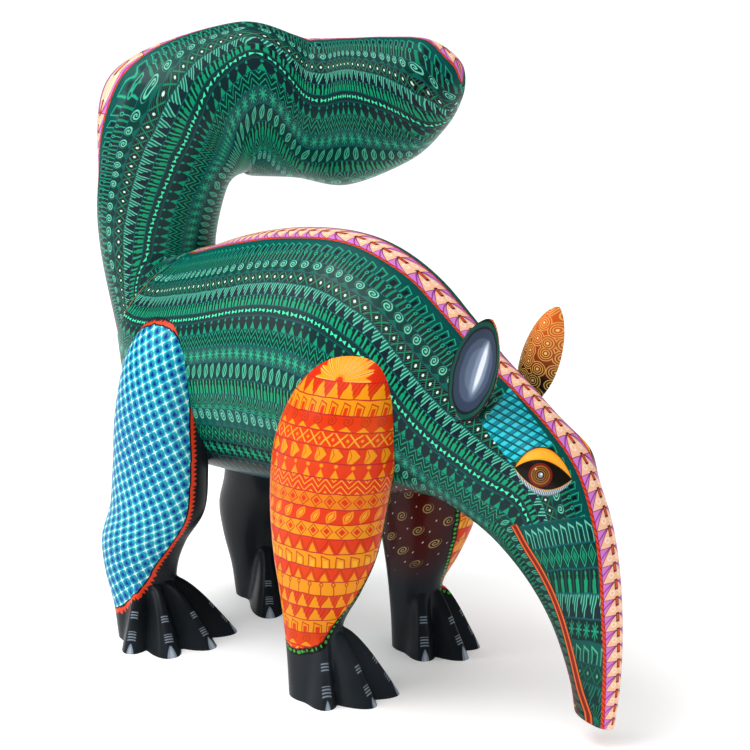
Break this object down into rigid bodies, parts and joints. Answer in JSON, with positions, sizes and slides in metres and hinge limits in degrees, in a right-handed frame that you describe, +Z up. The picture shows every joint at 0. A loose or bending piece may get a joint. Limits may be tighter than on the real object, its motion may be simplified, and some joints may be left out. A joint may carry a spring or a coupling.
{
  "type": "carved wooden animal figure",
  "caption": "Hand-carved, finely painted wooden anteater standing on four feet with a curled lift-off tail and lift-off ears.",
  "frame": {"origin": "on the floor, under the middle of the figure's box", "axes": "+X towards the snout, +Y towards the animal's left, +Z up"},
  "size_m": [0.3246, 0.1938, 0.3313],
  "materials": {
    "painted_trunk": "satin varnish over painted bands",
    "painted_tail": "satin varnish over painted bands",
    "painted_orange_leg": "satin varnish over painted bands",
    "painted_blue_leg": "satin varnish over painted net",
    "painted_dark_leg": "satin varnish over near-black paint",
    "painted_ear": "satin varnish over paint",
    "raw_wood": "bare sanded wood"
  },
  "bodies": {
    "trunk": {"body": "painted_trunk", "right_front_leg": "painted_orange_leg", "left_front_leg": "painted_dark_leg", "right_hind_leg": "painted_blue_leg", "left_hind_leg": "painted_dark_leg", "right_front_leg_upper_dowel": "raw_wood", "right_front_leg_lower_dowel": "raw_wood", "left_front_leg_upper_dowel": "raw_wood", "left_front_leg_lower_dowel": "raw_wood", "right_hind_leg_upper_dowel": "raw_wood", "right_hind_leg_lower_dowel": "raw_wood", "left_hind_leg_upper_dowel": "raw_wood", "left_hind_leg_lower_dowel": "raw_wood"},
    "tail": {"tail": "painted_tail", "tail_main_dowel": "raw_wood", "tail_locating_dowel": "raw_wood"},
    "right_ear": {"right_ear": "painted_ear"},
    "left_ear": {"left_ear": "painted_ear"}
  },
  "joints": [
    {"name": "tail_pull_off", "type": "slide", "parent": "trunk", "child": "tail", "axis": [-0.7071, 0, 0.7071], "range_m": [0, 0.04]},
    {"name": "right_ear_pull_off", "type": "slide", "parent": "trunk", "child": "right_ear", "axis": [0.1507, -0.4219, 0.894], "range_m": [0, 0.022]},
    {"name": "left_ear_pull_off", "type": "slide", "parent": "trunk", "child": "left_ear", "axis": [0.1507, 0.4219, 0.894], "range_m": [0, 0.022]}
  ]
}
